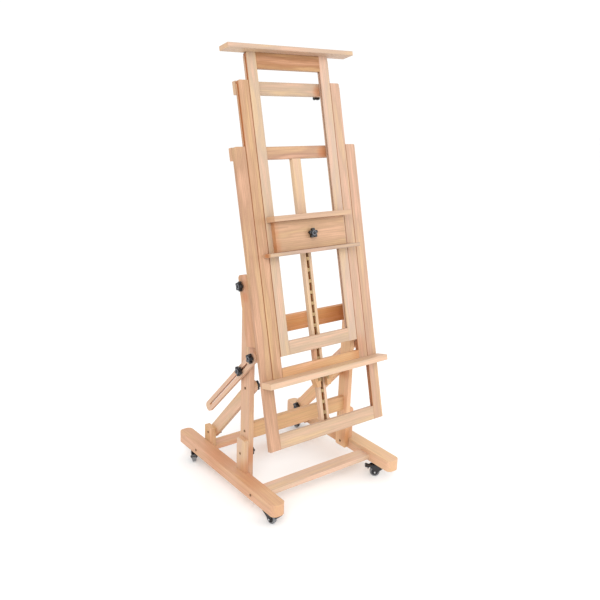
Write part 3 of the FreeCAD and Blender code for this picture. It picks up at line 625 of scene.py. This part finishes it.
def clusters(node, reach):
    # the points of each separate solid of a node: those on one side of the
    # easel and within reach of the solid's first point
    groups = []
    for vertex in nodes[node].data.vertices:
        point = vertex.co.copy()
        for group in groups:
            first = group[0]
            if (point.x * first.x > 0
                    and (point.yz - first.yz).length < reach):
                group.append(point)
                break
        else:
            groups.append([point])
    return groups


def outerFace(points, axis):
    # centre of the broader of the two ends along the axis, and its way out
    edge = 0.2 * mm
    heights = [point.dot(axis) for point in points]
    ends = []
    for height, way in ((min(heights), -1), (max(heights), 1)):
        rim = [point for point in points
               if abs(point.dot(axis) - height) < edge]
        middle = Vector(((min(p[k] for p in rim) + max(p[k] for p in rim)) / 2
                         for k in range(3)))
        radius = max((point - middle).length for point in rim)
        ends.append((radius, middle, way * axis))
    return max(ends, key=lambda end: end[0])[1:]


# a cap pressed into each star knob: its ring a grey painted highlight, and the
# screw's hollow painted dark as shade
knobCap = {"middle": 8.0, "wall": 2.0, "flatness": 0.45}
knobHub = {"radius": 6.2, "high": 0.9, "wall": 2.4, "deep": 0.6,
           "eased": 0.15}
knobReach = 52  # mm, wider than a knob and less than the way to the next
capRing = flatRing("capRing", 32, knobCap)
capHub = sunkDisc("capHub", 24, knobHub)

knobAxes = {"holder_knob": frameOut, "top_lock_knob_left": frameOut,
            "top_lock_knob_right": frameOut}
count = 0
for node in nodes:
    if "knob" not in node:
        continue
    axis = knobAxes.get(node, Vector((1, 0, 0)))
    groups = clusters(node, knobReach * mm)
    if node in knobAxes:
        groups = [sum(groups, [])]
    for points in groups:
        middle, outward = outerFace(points, axis)
        count += 1
        stamp(capRing, f"knobCapRing_{count}", middle, outward,
              bodyOf[node], highlightGrey)
        stamp(capHub, f"knobCapHub_{count}", middle, outward,
              bodyOf[node], hollowShadeNylon)
bpy.data.objects.remove(capRing)
bpy.data.objects.remove(capHub)
print("knob caps", count)

# a hexagon socket in each bolt head
boltSocket = {"radius": 3.1, "high": 0.5, "wall": 0.7, "deep": 0.42,
              "eased": 0.08}
boltReach = 14  # mm, the same for a bolt
socket = sunkDisc("socket", 6, boltSocket)
count = 0
for points in clusters("base_bolts", boltReach * mm):
    middle, outward = outerFace(points, Vector((1, 0, 0)))
    count += 1
    stamp(socket, f"boltSocket_{count}", middle, outward, "base",
          bronze)
bpy.data.objects.remove(socket)
print("bolt sockets", count)

# a beech plug, chamfered at its hidden end, closes the foot bolt's bore flush
# with the outside of each runner
footPlug = {"radius": 4.05, "long": 6, "height": 96, "chamfer": 0.3}
bpy.ops.mesh.primitive_cylinder_add(
    vertices=32, radius=footPlug["radius"] * mm, depth=footPlug["long"] * mm)
plug = startShape("plug")
pickFaces(plug, lambda face: face.normal.z < -0.9)
bpy.ops.mesh.inset(thickness=footPlug["chamfer"] * mm)
bpy.ops.transform.translate(value=(0, 0, -footPlug["chamfer"] * mm))
endShape(plug)
for side, way in (("left", -1), ("right", 1)):
    low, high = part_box("runner_" + side)
    outside = low[0] if side == "left" else high[0]
    stamp(plug, "footPlug_" + side,
          (outside - way * footPlug["long"] / 2 * mm, tiltPivot.y,
           footPlug["height"] * mm), (way, 0, 0), "base",
          nodes["runner_" + side].material_slots[0].material)
bpy.data.objects.remove(plug)
print("foot plugs done")

# castors: domed axle nuts, swivel races and the screws that hold the plates
axleNut = {"radius": 4.4, "high": 2.6, "off": 16.4, "eased": 0.2,
           "dome": ((0.9, 0.5), (0.9, 0.4), (0.8, 0.2))}
swivelRace = {"middle": 16.6, "wall": 1.5, "flatness": 0.8, "under": 1.6}
panScrew = {"radius": 3.4, "high": 1.6, "wall": 1.5, "deep": 0.8,
            "eased": 0.25}
plateHoles = {"across": 17, "along": 25, "height": 60.3}
bpy.ops.mesh.primitive_cylinder_add(
    vertices=6, radius=axleNut["radius"] * mm, depth=axleNut["high"] * mm)
nut = startShape("nut")
pickFaces(nut, lambda face: face.normal.z > 0.9)
for inset, lift in axleNut["dome"]:
    bpy.ops.mesh.inset(thickness=inset * mm)
    bpy.ops.transform.translate(value=(0, 0, lift * mm))
endShape(nut, axleNut["eased"] * mm)
race = flatRing("race", 36, swivelRace)
screw = sunkDisc("screw", 16, panScrew)
for name, joint in joints.items():
    if not name.startswith("wheel_spin_"):
        continue
    corner = name[len("wheel_spin_"):]
    centre, axle = Vector(joint["pos_m"]), Vector(joint["axis"])
    for side, way in (("near", -1), ("far", 1)):
        stamp(nut, f"axleNut_{corner}_{side}",
              centre + way * axleNut["off"] * mm * axle, way * axle,
              "caster_fork_" + corner, zinc)
    swivel = Vector(joints["caster_swivel_" + corner]["pos_m"])
    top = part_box("caster_fork_" + corner)[1][2]
    stamp(race, "swivelRace_" + corner,
          (swivel.x, swivel.y, top - swivelRace["under"] * mm), (0, 0, 1),
          "caster_fork_" + corner, enamel)
    for number, (sideX, sideY) in enumerate(
            ((-1, -1), (-1, 1), (1, -1), (1, 1)), 1):
        stamp(screw, f"plateScrew_{corner}_{number}",
              (swivel.x + sideX * plateHoles["across"] * mm,
               swivel.y + sideY * plateHoles["along"] * mm,
               plateHoles["height"] * mm), (0, 0, -1),
              "base", zinc)
bpy.data.objects.remove(nut)
bpy.data.objects.remove(race)
print("castor fittings done")

# screws through the bars of the ratchet rack, sunk to clear what slides past
rack = {"firstBar": 90.9, "pitch": 47, "bars": (0, 4, 9, 14),
        "front": -21.6, "screwSunk": 0.4}
for number, bar in enumerate(rack["bars"], 1):
    stamp(screw, f"rackScrew_{number}",
          onFrame(0, (rack["firstBar"] + rack["pitch"] * bar) * mm,
                  (rack["front"] - rack["screwSunk"]) * mm), frameOut,
          "tilt_frame", brass)

# stamped keeper plates on the pawl's cheeks: each has an ear turned out at
# its top and one screw near its bottom
keeper = {"across": 10, "up": 26, "thick": 1.2, "middle": 24.5,
          "height": 247, "front": -2.6, "earHigh": 3, "earOut": 5,
          "screwDown": 5, "screwProud": 0.6, "eased": 0.3}
bend = (keeper["up"] / 2 - keeper["earHigh"]) * mm
bpy.ops.mesh.primitive_cube_add(size=1)
plate = startShape("plate")
bpy.ops.mesh.select_all(action="SELECT")
bpy.ops.transform.resize(value=(keeper["across"] * mm, keeper["up"] * mm,
                                keeper["thick"] * mm))
bpy.ops.mesh.bisect(plane_co=(0, bend, 0), plane_no=(0, 1, 0))
pickFaces(plate, lambda face: face.normal.z > 0.9 and face.center.y > bend)
bpy.ops.mesh.extrude_region_move(
    TRANSFORM_OT_translate={"value": (0, 0, keeper["earOut"] * mm)})
endShape(plate, keeper["eased"] * mm)
plateOut = keeper["front"] + keeper["thick"] / 2
screwOut = keeper["front"] + keeper["thick"] + keeper["screwProud"]
for side, way in (("left", -1), ("right", 1)):
    across = way * keeper["middle"] * mm
    stamp(plate, "pawlKeeper_" + side,
          onFrame(across, keeper["height"] * mm, plateOut * mm), frameOut,
          "middle_panel", brass, up=frameUp)
    stamp(screw, "keeperScrew_" + side,
          onFrame(across, (keeper["height"] - keeper["screwDown"]) * mm,
                  screwOut * mm), frameOut, "middle_panel", brass)
bpy.data.objects.remove(plate)
bpy.data.objects.remove(screw)
print("ratchet fittings done")

# a pale floor under an even white sky, with a large soft lamp from the upper
# left front and a weaker one from the right
studio = {
    "floorSize": 60, "floorHeight": -0.0005,
    "floorColour": "#ffffff", "floorMottle": "#fbfbfa",
    "skyColour": "#ffffff", "skyStrength": 1.05, "lampAim": (0, 0, 0.8),
    "keyPlace": (-2.9, -3.6, 4.1), "keySize": 2.4, "keyPower": 125,
    "fillPlace": (3.4, -3.2, 2.2), "fillSize": 2.6, "fillPower": 45,
}
bpy.ops.object.select_all(action="DESELECT")
bpy.ops.mesh.primitive_plane_add(size=studio["floorSize"],
                                 location=(0, 0, studio["floorHeight"]))
floor = bpy.context.object
floor.name = "studioFloor"
paper, tree, shader = newMaterial("paleSeamlessPaper")
coords = addNode(tree, "ShaderNodeTexCoord")
mottle = addNode(tree, "ShaderNodeTexNoise", {
    "Vector": coords.outputs["Object"], "Scale": 3.0, "Detail": 2.0})
shade = addNode(tree, "ShaderNodeValToRGB", {"Fac": mottle.outputs["Fac"]})
setStops(shade, [(0.3, studio["floorColour"]), (0.7, studio["floorMottle"])])
tree.links.new(shade.outputs["Color"], shader.inputs["Base Color"])
shader.inputs["Roughness"].default_value = 0.9
floor.data.materials.append(paper)

world = bpy.data.worlds.new("studioSky")
bpy.context.scene.world = world
world.use_nodes = True
sky = world.node_tree.nodes["Background"]
sky.inputs["Color"].default_value = toLinear(studio["skyColour"])
sky.inputs["Strength"].default_value = studio["skyStrength"]

for lampName in ("key", "fill"):
    place = Vector(studio[lampName + "Place"])
    bpy.ops.object.light_add(type="AREA", location=place)
    lamp = bpy.context.object
    lamp.name = lampName + "Light"
    lamp.data.size = studio[lampName + "Size"]
    lamp.data.energy = studio[lampName + "Power"]
    way = Vector(studio["lampAim"]) - place
    lamp.rotation_euler = way.to_track_quat("-Z", "Y").to_euler()

# a standing eye's view from the easel's front left
viewing = {"place": (-1.8014, -2.3983, 1.7172), "yaw": 0.658,
           "pitch": -0.291, "roll": 0.037, "lens": 42.88, "sensor": 36}
yaw, pitch, roll = viewing["yaw"], viewing["pitch"], viewing["roll"]
ahead = Vector((math.sin(yaw) * math.cos(pitch),
                math.cos(yaw) * math.cos(pitch), math.sin(pitch)))
level = Vector((math.cos(yaw), -math.sin(yaw), 0))
above = level.cross(ahead)
rightward = math.cos(roll) * level + math.sin(roll) * above
upward = math.cos(roll) * above - math.sin(roll) * level
bpy.ops.object.camera_add(location=viewing["place"])
camera = bpy.context.object
camera.name = "studioCamera"
camera.data.lens = viewing["lens"]
camera.data.sensor_width = viewing["sensor"]
turn = Matrix((rightward, upward, -ahead)).transposed()
camera.rotation_euler = turn.to_euler()
bpy.context.scene.camera = camera
bpy.context.scene.view_settings.view_transform = "Standard"
print("studio ready")
